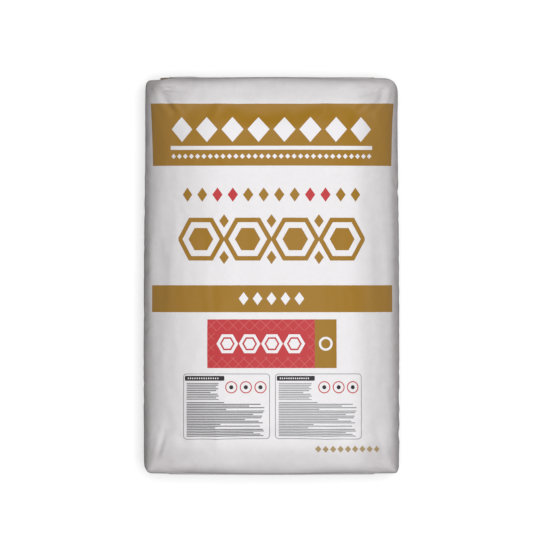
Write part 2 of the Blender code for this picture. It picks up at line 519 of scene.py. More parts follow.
    def shape(self, sack: bpy.types.Object) -> None:
        """Turns the cut cube into the sack's form and lays out its flat paper.

        Args:
            sack: The cube, cut into cells.
        """
        mesh = sack.data
        across, along, up = self.cells
        count = 2 * (across + up)
        cube = points_of(mesh)
        reach_in = np.maximum(np.abs(cube[:, 0]), np.abs(cube[:, 2]))
        s, w = (cube[:, axis] / np.maximum(reach_in, 1e-9) for axis in (0, 2))
        ring = np.where(
            np.abs(w) >= np.abs(s),
            np.where(w > 0, s * across / 2, across + up - s * across / 2),
            np.sign(s) * (across / 2 + (1 - w) * up / 2),
        ) % count
        row = np.rint((cube[:, 1] + 1) * along / 2).astype(int)
        shares = np.linspace(-1.0, 1.0, along + 1)
        shares = np.sign(shares) * (1 - (1 - np.abs(shares)) ** self.end_crowding)
        sections = np.array([self.form.section(share, count) for share in shares])
        low = np.floor(ring).astype(int)
        part = (ring - low)[:, None]
        edge = sections[row, low % count] * (1 - part) + sections[row, (low + 1) % count] * part
        power = self.form.plan_power
        reach = (reach_in**power + np.abs(shares[row]) ** power) ** (1 / power)
        middle = np.array([0.0, self.form.edge_height])
        places = np.empty_like(cube)
        places[:, [0, 2]] = middle + (edge - middle) * (reach_in / reach)[:, None]
        places[:, 1] = self.form.length / 2 * shares[row] / reach
        places = averaged(mesh, places, self.edge_rounds, self.upper_edge(places))
        places[:, 2] = np.maximum(places[:, 2], 0.0)
        set_points(mesh, places)
        self.lay_out_paper(mesh, places, ring, row, reach_in > 0.999)

    def upper_edge(self, places: np.ndarray) -> np.ndarray:
        """Tells how near each vertex is to a block end's upper edge, from 0 to 1."""
        near = smooth_step(*self.edge_reach, self.form.length / 2 - np.abs(places[:, 1]))
        return near * smooth_step(*self.edge_heights, places[:, 2])

    def lay_out_paper(self, mesh: bpy.types.Mesh, places: np.ndarray, ring: np.ndarray,
                      row: np.ndarray, outside: np.ndarray) -> None:
        """Gives each corner of each face its place on the flat paper, in metres.

        Args:
            mesh: The sack's mesh.
            places: Its vertices.
            ring: Each vertex's place around the sack, counted in cells from the face's centre line.
            row: Each vertex's row along the sack.
            outside: Whether a vertex is on the paper tube, and not inside an end.
        """
        across, along, up = self.cells
        count = 2 * (across + up)
        vertex_ring = np.rint(ring).astype(int) % count
        tube = np.zeros((along + 1, count, 3))
        tube[row[outside], vertex_ring[outside]] = places[outside]
        around = np.linalg.norm(np.roll(tube, -1, axis=1) - tube, axis=2)
        u_tube = np.cumsum(around, axis=1) - around
        whole = around.sum(axis=1)
        u_tube = np.where(np.arange(count) <= count // 2, u_tube, u_tube - whole[:, None])
        lengthwise = np.linalg.norm(np.diff(tube[:, 0], axis=0), axis=1)
        v_row = np.concatenate([[0.0], np.cumsum(lengthwise)])
        v_row -= v_row[along // 2]
        corners = read(mesh.loops, "vertex_index", 1, int).reshape(-1, 4)
        rows = row[corners]
        on_end = (rows == rows[:, :1]).all(axis=1) & np.isin(rows[:, 0], (0, along))
        u = u_tube[row, vertex_ring][corners]
        half_whole = whole[rows] / 2
        split = (u.max(axis=1) - u.min(axis=1)) > half_whole[:, 0]
        u = np.where(split[:, None] & (u < 0), u + 2 * half_whole, u)
        u = np.where(on_end[:, None], places[corners, 0], u)
        below = places[:, 2].max() - places[corners, 2]
        v = np.where(on_end[:, None], np.sign(places[corners, 1]) * (v_row[-1] + below), v_row[rows])
        paper = mesh.uv_layers[0] if mesh.uv_layers else mesh.uv_layers.new()
        paper.name = PAPER_MAP
        paper.data.foreach_set("uv", np.stack([u, v], axis=-1).astype(np.float32).ravel())

    def crease(self, sack: bpy.types.Object) -> None:
        """Lets the powder's pressure and weight crease the paper, and keeps the result.

        The broad bulge is only kept in part, because the real sack's plies hold it flatter.

        Args:
            sack: The sack in its plump form.
        """
        mesh = sack.data
        start = points_of(mesh)
        self.group_vertices(sack, start)
        cloth = sack.modifiers.new("paper", "CLOTH")
        for name, value in {
            "quality": self.steps,
            "mass": self.vertex_mass,
            "vertex_group_mass": "held",
            "tension_stiffness": self.stretch,
            "compression_stiffness": self.stretch,
            "shear_stiffness": self.shear,
            "bending_stiffness": self.bending,
            "bending_stiffness_max": self.end_bending,
            "vertex_group_bending": "stiff",
            "air_damping": self.air_damping,
            "use_pressure": True,
            "uniform_pressure_force": self.pressure,
            "fluid_density": self.powder_density,
            "vertex_group_shrink": "spare",
            "shrink_min": -self.spare_paper,
            "shrink_max": -self.corner_spare,
        }.items():
            setattr(cloth.settings, name, value)
        cloth.collision_settings.use_collision = False
        cloth.point_cache.frame_start = 1
        cloth.point_cache.frame_end = self.frames
        for number in range(1, self.frames + 1):
            bpy.context.scene.frame_set(number)
        apply_modifier(sack, cloth.name)
        moved = points_of(mesh) - start
        far = np.linalg.norm(moved, axis=1, keepdims=True)
        moved *= np.minimum(1.0, self.most_moved / np.maximum(far, 1e-9))
        moved -= averaged(mesh, moved, self.bulge_rounds) * (1 - self.bulge_kept)
        set_points(mesh, start + averaged(mesh, moved, self.edge_rounds, self.upper_edge(start)))
        sack.vertex_groups.clear()

    def group_vertices(self, sack: bpy.types.Object, start: np.ndarray) -> None:
        """Marks where the floor holds the paper, where it is stiff and where it has spare length.

        Args:
            sack: The sack in its plump form.
            start: Its vertices.
        """
        x, y, z = np.abs(start[:, 0]), np.abs(start[:, 1]), start[:, 2]
        half_width, half_length = self.form.width / 2, self.form.length / 2
        held = (z < 0.5 * MM) & (x < self.held[0]) & (y < self.held[1])
        side_gap = np.maximum(half_width - self.spare_rim[0] - x, 0.0)
        end_gap = np.maximum(half_length - self.spare_rim[1] - y, 0.0)
        near = np.clip(1 - np.hypot(side_gap, end_gap) / self.spare_reach, 0.0, 1.0)
        stiff = smooth_step(half_length - self.stiff_rim[0], half_length - self.stiff_rim[1], y)
        weights = {"held": held.astype(float), "spare": near * (1 - stiff), "stiff": stiff}
        for name, values in weights.items():
            group = sack.vertex_groups.new(name=name)
            for index in np.flatnonzero(values > 0):
                group.add([int(index)], float(values[index]), "REPLACE")

    def fit(self, sack: bpy.types.Object) -> None:
        """Brings the creased sack back to its measured width, length, height and corners.

        Args:
            sack: The creased sack.
        """
        places = points_of(sack.data)
        form = self.form
        bands = np.linspace(-form.length / 2, form.length / 2, self.side_bands)
        self.draw_to(places, 0, bands, form.half_width((bands[:-1] + bands[1:]) / 2))
        columns = np.linspace(-form.width / 2, form.width / 2, self.end_bands)
        self.draw_to(places, 1, columns, form.length / 2 - self.end_inset)
        across = (places[:, 0] - self.hollow[0]) / self.hollow_reach[0]
        up = (places[:, 2] - self.hollow[1]) / self.hollow_reach[1]
        on_end = smooth_step(*self.hollow_start, places[:, 1])
        places[:, 1] -= self.hollow_depth * np.exp(-(across**2) - up**4) * on_end
        for trim in self.trims:
            self.cut_corner(places, trim)
        places[:, 2] = np.maximum(places[:, 2], 0.0)
        places[:, 2] = self.lift + places[:, 2] * (form.height - self.lift) / places[:, 2].max()
        set_points(sack.data, places)

    @staticmethod
    def draw_to(places: np.ndarray, axis: int, bands: np.ndarray, wanted: np.ndarray | float) -> None:
        """Scales both halves of the sack along X or Y, band by band, to the reach that is wanted.

        Args:
            places: The sack's vertices, moved in place.
            axis: 0 to scale along X and 1 along Y.
            bands: Where the bands start and end on the other axis. The first and the last are too
                near a corner to be measured, and take their neighbour's scale.
            wanted: The reach from the middle, for each band or for all.
        """
        other = 1 - axis
        middles = (bands[:-1] + bands[1:]) / 2
        for side in (-1, 1):
            reach = np.array([
                (side * places[(places[:, other] >= low) & (places[:, other] <= high), axis]).max()
                for low, high in zip(bands[:-1], bands[1:])
            ])
            scale = np.interp(places[:, other], middles[1:-1], (wanted / reach)[1:-1])
            on_side = side * places[:, axis] > 0
            places[on_side, axis] *= scale[on_side]

    def cut_corner(self, places: np.ndarray, trim: Trim) -> None:
        """Takes one corner off the outline by a straight cut, a round one or both.

        Args:
            places: The sack's vertices, moved in place.
            trim: The corner and its cuts.
        """
        form = self.form
        across, along = trim.corner.value
        narrowing = form.narrowing if along > 0 else 0.0
        reach = np.array([form.width / 2 - narrowing, form.length / 2 - self.end_inset])
        turned = places[:, :2] * (across, along)
        if any(trim.chamfer):
            gap = reach - turned
            near = smooth_step(self.squared_reach, 0.0, gap.max(axis=1))
            turned += gap * (self.squared * near)[:, None]
            out = np.array([trim.chamfer[1], trim.chamfer[0]]) / math.hypot(*trim.chamfer)
            past = (turned - (reach - (trim.chamfer[0], 0.0))) @ out
            soft = (past + np.sqrt(past**2 + self.trim_softness**2)) / 2
            turned -= soft[:, None] * out
        if trim.radius:
            centre = reach - trim.radius
            gap = turned - centre
            far = np.hypot(*gap.T)
            beyond = (gap.min(axis=1) > 0) & (far > trim.radius)
            turned[beyond] = centre + gap[beyond] * (trim.radius / far[beyond])[:, None]
        places[:, :2] = turned * (across, along)

    @staticmethod
    def flat_places(mesh: bpy.types.Mesh) -> np.ndarray:
        """Reads each vertex's place on the flat paper from the paper map.

        Args:
            mesh: The sack's mesh.

        Returns:
            Rows of how far each vertex is across and along the paper, in metres.
        """
        paper = np.empty((len(mesh.vertices), 2))
        corners = read(mesh.loops, "vertex_index", 1, int)[:, 0]
        paper[corners] = read(mesh.uv_layers[PAPER_MAP].data, "uv", 2)
        return paper

    def mark_dust_and_shade(self, sack: bpy.types.Object, paper: np.ndarray) -> None:
        """Marks dust and painted shade on the shoulders, the sides, the ends and around the filling spout,
        and painted shade down the left side.

        Args:
            sack: The sack.
            paper: Each vertex's place on the flat paper.
        """
        across, along = np.abs(paper).T
        left = smooth_step(0.0, self.left_shade_start, -paper[:, 0])
        side = np.maximum(self.shoulder_dust_and_shade.dust_and_painted_shade(across), left * self.left_shade.dust_and_painted_shade(across))
        side += (1 - side) * self.side_dust_and_shade.dust_and_painted_shade(across)
        end = self.end_dust_and_shade.dust_and_painted_shade(along)
        end += (1 - end) * self.rim_dust_and_shade.dust_and_painted_shade(along)
        from_spout = np.linalg.norm(paper - self.spout_place, axis=1)
        spout_share = self.spout_dust_and_shade * smooth_step(*self.spout_reach, from_spout)
        write_dust_and_shade(sack.data, 1 - (1 - side) * (1 - end) * (1 - spout_share))

    def pucker(self, sack: bpy.types.Object, paper: np.ndarray) -> None:
        """Presses sharp creases around the block ends' corners and buckles into the long sides.

        Args:
            sack: The smoothed sack.
            paper: Each vertex's place on the flat paper.
        """
        mesh = sack.data
        places = points_of(mesh)
        normals = read(mesh.vertices, "normal", 3).astype(float)
        draw = np.random.default_rng(self.crease_seed).uniform
        depth = np.zeros(len(paper))
        for corner in Corner:
            x, y = corner.value
            deepest = self.crease_depths[y > 0]
            for edge, lean in self.crease_hubs:
                hub = np.array([x * edge, y * self.hub_along])
                for _ in range(self.creases):
                    turn = math.radians(draw(*self.crease_turns)) * lean
                    away = np.array([-x * math.sin(turn), -y * abs(math.cos(turn))])
                    first = hub + away * draw(*self.crease_starts)
                    last = first + away * draw(*self.crease_lengths)
                    deep = deepest * draw(self.shallowest, 1.0)
                    depth += self.crease_depth(paper, first, last, deep, draw(*self.crease_widths))
        for side in (-1, 1):
            for _ in range(self.buckles):
                first = np.array([side * draw(*self.buckle_starts), draw(*self.buckle_span)])
                last = first + (side * draw(*self.buckle_runs), draw(*self.buckle_leans))
                deep = self.buckle_depth * draw(self.shallowest, 1.0)
                depth += self.crease_depth(paper, first, last, deep, draw(*self.buckle_widths))
        places -= normals * depth[:, None]
        places[:, 2] = np.maximum(places[:, 2], self.lift - self.most_sunk)
        set_points(mesh, places)

    @staticmethod
    def crease_depth(paper: np.ndarray, first: np.ndarray, last: np.ndarray, depth: float,
                     half_width: float) -> np.ndarray:
        """Works out how deep one crease presses each point.

        Args:
            paper: Each point's place on the flat paper.
            first: The crease's deeper end.
            last: Its other end, where it fades.
            depth: Its greatest depth.
            half_width: From its line to its edge.

        Returns:
            The depth at each point, a little below zero along the crease's raised sides.
        """
        run = last - first
        share = np.clip((paper - first) @ run / (run @ run), 0.0, 1.0)
        gap = np.linalg.norm(paper - first - share[:, None] * run, axis=1) / half_width
        fade = np.sin(np.pi * np.clip(share * 0.85 + 0.15, 0.0, 1.0))
        return depth * fade * (np.exp(-1.6 * gap) - 0.35 * np.exp(-((gap - 1.6) ** 2) / 0.5))


@dataclass
class CementFill(SubAssembly):
    """The powder in the sack, one plain core just inside the paper."""

    slot = "cement_powder"
    cad_nodes = {"cement_powder": "cement_fill"}

    sack: bpy.types.Object
    inset: float = 3.5 * MM
    fewer: int = 2                    # rounds of taking every other row of faces out
    relaxed: int = 6                  # rounds of smoothing

    def build(self) -> list[bpy.types.Object]:
        """Copies the sack's form, simplifies it and draws it in.

        Returns:
            The core, alone in its list.
        """
        make_active(self.sack)
        bpy.ops.object.duplicate()
        core = bpy.context.object
        core.name = core.data.name = "cement_powder"
        shape_with(core, "DECIMATE", decimate_type="UNSUBDIV", iterations=self.fewer)
        shape_with(core, "SMOOTH", iterations=self.relaxed)
        shape_with(core, "DISPLACE", mid_level=0.0, strength=-self.inset)
        return [core]


@dataclass
class BlockEnd(SubAssembly):
    """One pasted block end: its two folded flaps and the cover strip over them."""

    slot = "patch_paper"
    cad_nodes = {"valve_end_strip": "top_patch", "base_end_strip": "bottom_patch"}

    sack: bpy.types.Object
    end: End
    paper: float = 0.3 * MM
    middle: float = 0.056             # height of the end's middle
    in_front: float = 0.001           # where a sheet starts, before it is pressed on
    bridge_rounds: int = 5            # rounds of smoothing that take a sheet across the finest creases
    normal_rounds: int = 4

    # Flaps
    flap_half_length: float = 0.188   # of the flap's fold
    flap_height: float = 0.052        # from the fold to the free edge
    flap_start: float = 0.047         # from the end's middle to the fold
    flap_cut: float = 0.010           # half of what the slanted ends take off the fold
    flap_cells: tuple[int, int] = (94, 14)
    flap_rise: float = 0.15 * MM
    flap_dust_and_shade: float = 1.0            # as a share of the dust and painted shade on the paper beneath
    sunk: float = 1.3 * MM            # how far the fold and the tips sink into the sack's own paper
    fold_reach: Range = (0.010, 0.0)
    tip_reach: Range = (0.026, 0.004)
    overlap_rise: float = 0.3 * MM    # of the upper flap over the lower one
    overlap_reach: Range = (0.010, 0.002)    # of that step, from the end's middle

    # Cover strip
    strip: Range = (0.320, 0.084)
    strip_cut: float = 0.012          # what a cut corner takes off each edge
    strip_cells: tuple[int, int] = (108, 30)
    strip_rise: float = 0.55 * MM
    # the strip's dust and painted shade, as a share of those on the paper beneath
    strip_dust_and_shade: float = 0.15
    ridge: float = -0.001             # height of the overlap that shows through, from the middle
    ridge_reach: Range = (0.012, 0.003)
    loose: float = 0.35 * MM          # how far the strip's edges stand off their paste
    loose_reach: Range = (0.010, 0.0)
    waves: Range = (61.0, 23.0)       # radians per metre of the loose edge's two waves
    sleeve_rise: float = 1.0 * MM     # how far the strip rises over the filling sleeve
    sleeve_reach: Range = (-0.108, -0.124)

    def build(self) -> list[bpy.types.Object]:
        """Makes the end's flaps and its cover strip.

        Returns:
            The flaps and the strip.
        """
        name = self.end.name.lower()
        lower = self.flap(-1)
        upper = self.flap(1)
        make_active(lower)
        upper.select_set(True)
        bpy.ops.object.join()
        lower.name = lower.data.name = f"{name}_end_flaps"
        strip = self.cover_strip()
        strip.name = strip.data.name = f"{name}_end_strip"
        return [lower, strip]

    def sheet(self, width: float, height: float, cells: tuple[int, int],
              cuts: Iterable[tuple[Range, Range]]) -> bpy.types.Object:
        """Adds a flat sheet in front of the end and cuts its corners.

        Args:
            width: Its width.
            height: Its height.
            cells: How many cells across and up.
            cuts: A point and an outward direction for each straight cut.

        Returns:
            The sheet, upright, facing out from the end.
        """
        deselect_all()
        bpy.ops.mesh.primitive_grid_add(x_subdivisions=cells[0], y_subdivisions=cells[1], size=1.0)
        made = bpy.context.object
        made.scale = (width, height, 1.0)
        bpy.ops.object.transform_apply(location=False, rotation=False, scale=True)
        bpy.ops.object.mode_set(mode="EDIT")
        for point, out in cuts:
            bpy.ops.mesh.select_all(action="SELECT")
            bpy.ops.mesh.bisect(plane_co=(*point, 0.0), plane_no=(*out, 0.0), clear_outer=True)
        bpy.ops.object.mode_set(mode="OBJECT")
        made.rotation_euler = (math.pi / 2, 0.0, math.pi if self.end is End.VALVE else 0.0)
        made.location = (0.0, self.end.value * (CAD_BOX[1].y + self.in_front), self.middle)
        bpy.ops.object.transform_apply(location=True, rotation=True, scale=False)
        return made

    def press_on(self, sheet: bpy.types.Object, rise: np.ndarray, held: float) -> None:
        """Presses a sheet onto the sack's end, so that it bridges the finest creases, and finishes it.

        Args:
            sheet: The sheet in front of the end.
            rise: How far each vertex stays off the sack's paper.
            held: How much dust and painted shade it has, as a share of those on the paper beneath it.
        """
        shape_with(sheet, "SHRINKWRAP", target=self.sack, wrap_method="NEAREST_SURFACEPOINT")
        places = points_of(sheet.data)
        normals = nearest_paper(self.sack, places)[1]
        normals = even_normals(sheet.data, normals, self.normal_rounds)
        bridged = averaged(sheet.data, places, self.bridge_rounds) - places
        gap = np.maximum((bridged * normals).sum(axis=1), 0.0)
        set_points(sheet.data, places + normals * (gap + rise)[:, None])
        take_dust_and_shade(sheet, self.sack, held)
        thicken(sheet, self.paper)

    def flap(self, up: int) -> bpy.types.Object:
        """Makes one flap, whose ends are folded at 45 degrees.

        Args:
            up: 1 for the upper flap, which laps over the lower one, and -1 for the lower one.

        Returns:
            The flap in its place.
        """
        slope = 1 / math.sqrt(2)
        height = self.flap_height
        cut = self.flap_half_length - self.flap_cut
        cuts = [((side * cut, up * height / 2), (side * slope, -up * slope)) for side in (-1, 1)]
        sheet = self.sheet(2 * self.flap_half_length, height, self.flap_cells, cuts)
        places = points_of(sheet.data)
        places[:, 2] += up * (self.flap_start - height / 2)
        set_points(sheet.data, places)
        from_fold = self.flap_start - up * (places[:, 2] - self.middle)
        from_tip = self.flap_half_length - np.abs(places[:, 0])
        at_edge = np.maximum(
            smooth_step(*self.fold_reach, from_fold), smooth_step(*self.tip_reach, from_tip))
        rise = self.flap_rise - self.sunk * at_edge
        if up > 0:
            far, near = self.overlap_reach
            lapped = smooth_step(self.flap_start - far, self.flap_start - near, from_fold)
            rise += self.overlap_rise * lapped
        self.press_on(sheet, rise, self.flap_dust_and_shade)
        return sheet

    def cover_strip(self) -> bpy.types.Object:
        """Makes the cover strip, with cut corners and edges that stand a little off their paste.

        Returns:
            The strip in its place.
        """
        width, height = self.strip
        slope = 1 / math.sqrt(2)
        right = (width - self.strip_cut) / 2
        top = (height - self.strip_cut) / 2
        cuts = [((x * right, y * top), (x * slope, y * slope)) for x in (-1, 1) for y in (-1, 1)]
        sheet = self.sheet(width, height, self.strip_cells, cuts)
        places = points_of(sheet.data)
        x, up = places[:, 0], places[:, 2] - self.middle
        from_edge = np.minimum(width / 2 - np.abs(x), height / 2 - np.abs(up))
        rise = self.strip_rise + self.overlap_rise * smooth_step(*self.ridge_reach, np.abs(up - self.ridge))
        wave = np.sin(x * self.waves[0] + 1.3 * self.end.value) * np.sin(x * self.waves[1] + 0.4)
        rise += self.loose * smooth_step(*self.loose_reach, from_edge) * (0.35 + 0.65 * wave**2)
        if self.end is End.VALVE:
            rise += self.sleeve_rise * smooth_step(*self.sleeve_reach, x)
        self.press_on(sheet, rise, self.strip_dust_and_shade)
        return sheet


@dataclass
class FillingSleeve(SubAssembly):
    """The flattened kraft tube that the sack is filled through, its mouth at the valve corner."""

    slot = "brown_kraft_paper"
    cad_nodes = {"filling_sleeve": "valve_sleeve"}

    sack: bpy.types.Object
    mouth: float = -0.173
    inner_end: float = -0.128
    height: float = 0.058
    middle: float = 0.055
    paper: float = 0.25 * MM
    gape: float = 2.2 * MM            # how far the mouth stands open
    gape_reach: float = 0.42          # share of the tube's length that opens
    pressed: float = 0.30 * MM        # between its plies, under the strip
    stand_off: float = 0.5 * MM       # from the sack's own paper, over the flaps
    ragged: float = 1.2 * MM          # how far the mouth's edge strays from a straight line
    sides: int = 56
    cells: int = 25
    normal_rounds: int = 6

    def build(self) -> list[bpy.types.Object]:
        """Makes the sleeve from a tube that is flattened along the sack's end.

        Returns:
            The finished tube, open at its mouth, alone in its list.
        """
        deselect_all()
        bpy.ops.mesh.primitive_cylinder_add(
            vertices=self.sides, radius=1.0, depth=2.0, end_fill_type="NOTHING",
            rotation=(0.0, math.pi / 2, 0.0))
        tube = bpy.context.object
        tube.name = tube.data.name = "filling_sleeve"
        bpy.ops.object.transform_apply(location=False, rotation=True, scale=False)
        cut_along(tube, 0, self.cells)
        mesh = tube.data
        along, out, up = points_of(mesh).T
        share = (along + 1) / 2
        bow = 1 - np.abs(up) ** 2.5
        opened = smooth_step(self.gape_reach, 0.0, share)
        open_by = self.pressed + (self.gape * bow - self.pressed) * opened
        x = self.mouth + (self.inner_end - self.mouth) * share
        x += self.ragged * np.sin(up * 5.0 + 1.0) * (1 - share)
        z = self.middle + self.height / 2 * np.sign(up) * np.abs(up) ** 0.75
        depth = np.sign(out) * np.abs(out) ** 0.8
        starts = np.column_stack([x, np.full(len(x), CAD_BOX[1].y), z])
        panel, normals, _ = nearest_paper(self.sack, starts)
        normals = even_normals(mesh, normals, self.normal_rounds)
        set_points(mesh, panel + normals * (self.stand_off + open_by / 2 * (1 + depth))[:, None])
        make_active(tube)
        bpy.ops.object.mode_set(mode="EDIT")
        bpy.ops.mesh.select_all(action="SELECT")
        bpy.ops.mesh.normals_make_consistent(inside=False)
        bpy.ops.object.mode_set(mode="OBJECT")
        thicken(tube, self.paper)
        return [tube]


@dataclass
class BackSeam(SubAssembly):
    """The lap along the sack's back where the paper tube is pasted to itself."""

    slot = "white_kraft_paper"

    sack: bpy.types.Object
    width: float = 0.036
    length: float = 0.572
    cells: tuple[int, int] = (8, 120)
    paper: float = 0.5 * MM
    below: float = 0.001              # where the strip starts, before it is pressed on
    stand_off: float = 0.05 * MM
    waver: float = 0.6 * MM           # how far it strays from a straight line
    bridge_rounds: int = 6

    def build(self) -> list[bpy.types.Object]:
        """Makes the seam's strip on the underside.

        Returns:
            The strip, alone in its list.
        """
        deselect_all()
        bpy.ops.mesh.primitive_grid_add(x_subdivisions=self.cells[0], y_subdivisions=self.cells[1], size=1.0)
        strip = bpy.context.object
        strip.name = strip.data.name = "back_seam"
        strip.scale = (self.width, self.length, 1.0)
        strip.location = (0.0, 0.0, -self.below)
        strip.rotation_euler = (math.pi, 0.0, 0.0)
        bpy.ops.object.transform_apply(location=True, rotation=True, scale=True)
        shape_with(strip, "SHRINKWRAP", target=self.sack, wrap_method="NEAREST_SURFACEPOINT")
        places = points_of(strip.data)
        bridged = averaged(strip.data, places, self.bridge_rounds)
        places[:, 2] = np.minimum(places[:, 2], bridged[:, 2]) - self.stand_off
        places[:, 0] += self.waver * np.sin(places[:, 1] * 37.0)
        set_points(strip.data, places)
        # the strip takes the dust and painted shade of the paper beneath
        take_dust_and_shade(strip, self.sack, 1.0)
        thicken(strip, self.paper)
        return [strip]


def feed(node: bpy.types.Node, sockets: dict[Any, Any]) -> None:
    """Links or sets a node's input sockets.

    Args:
        node: The node.
        sockets: What goes into each, by its number or name: a socket, a plain value, or None.
    """
    for key, value in sockets.items():
        if isinstance(value, Socket):
            node.id_data.links.new(value, node.inputs[key])
        elif value is not None:
            node.inputs[key].default_value = value


def add_node(tree: bpy.types.NodeTree, kind: str, *inputs: Any, **named: Any) -> Any:
    """Adds one node with its settings and links.

    Args:
        tree: The node tree.
        kind: The node's type.
        inputs: What goes into its sockets in order.
        named: The node's own settings, and what goes into the sockets whose names, which start with a
            capital, are given.

    Returns:
        The node's first output, or the node itself if it has several or none.
    """
    node = tree.nodes.new(kind)
    sockets = dict(enumerate(inputs))
    for name, value in named.items():
        if name[0].isupper():
            sockets[name] = value
        else:
            setattr(node, name, value)
    feed(node, sockets)
    shown = [out for out in node.outputs if out.enabled]
    return shown[0] if len(shown) == 1 else node


def new_material(name: str) -> tuple[bpy.types.Material, Callable[..., Any], bpy.types.Node]:
    """Makes a material with only a Principled shader on its output.

    Args:
        name: The real material's name.

    Returns:
        The material, add_node for its node tree, and its shader.
    """
    made = bpy.data.materials.new(name)
    made.use_nodes = True
    tree = made.node_tree
    shader = next(node for node in tree.nodes if node.type == "BSDF_PRINCIPLED")
    return made, partial(add_node, tree), shader


@dataclass(frozen=True)
class Area:
    """A rectangle of the print, in millimetres from the middle of the printed face."""

    left: float
    right: float
    bottom: float
    top: float

    @property
    def middle(self) -> tuple[float, float, float]:
        """The rectangle's middle, in metres."""
        return ((self.left + self.right) / 2 * MM, (self.bottom + self.top) / 2 * MM, 0.0)

    @property
    def half(self) -> tuple[float, float, float]:
        """Half its width and height, in metres."""
        return ((self.right - self.left) / 2 * MM, (self.top - self.bottom) / 2 * MM, 0.0)

    def part(self, inner: "Area") -> "Area":
        """Returns a part of it, which is given from its left edge and its top edge."""
        return Area(
            self.left + inner.left, self.left + inner.right, self.top + inner.bottom, self.top + inner.top)


@dataclass(frozen=True)
class Row:
    """A row of equal shapes, one in each of the equal fields that fill a rectangle."""

    area: Area
    count: int
    size: float                       # a lozenge's width, or from a hexagon's middle to a side
    line: float = 0.0                 # thickness of a hexagon's ring


@dataclass(frozen=True)
class Bars:
    """A block of ruled bars of uneven length, aligned at the left."""

    area: Area
    pitch: float                      # from one bar to the next
    thickness: float                  # each bar's share of the pitch
    shortest: float                   # the shortest bar, as a share of the rectangle's width


@dataclass(frozen=True)
class RuledBox:
    """A box of ruled bars with a dark header, whose parts are given from its left and top edges."""

    area: Area
    grey: Ink                         # its bars' ink
    header: Area
    header_marks: Area
    bars: tuple[Bars, Bars] = (
        Bars(Area(5.0, 56.0, -40.0, -14.0), 2.8 * MM, 0.55, 0.3),
        Bars(Area(5.0, 126.5, -97.0, -43.0), 2.6 * MM, 0.60, 0.35),
    )
    rings: tuple[Range, ...] = ((75.5, -20.5), (98.0, -20.5), (120.5, -20.5))


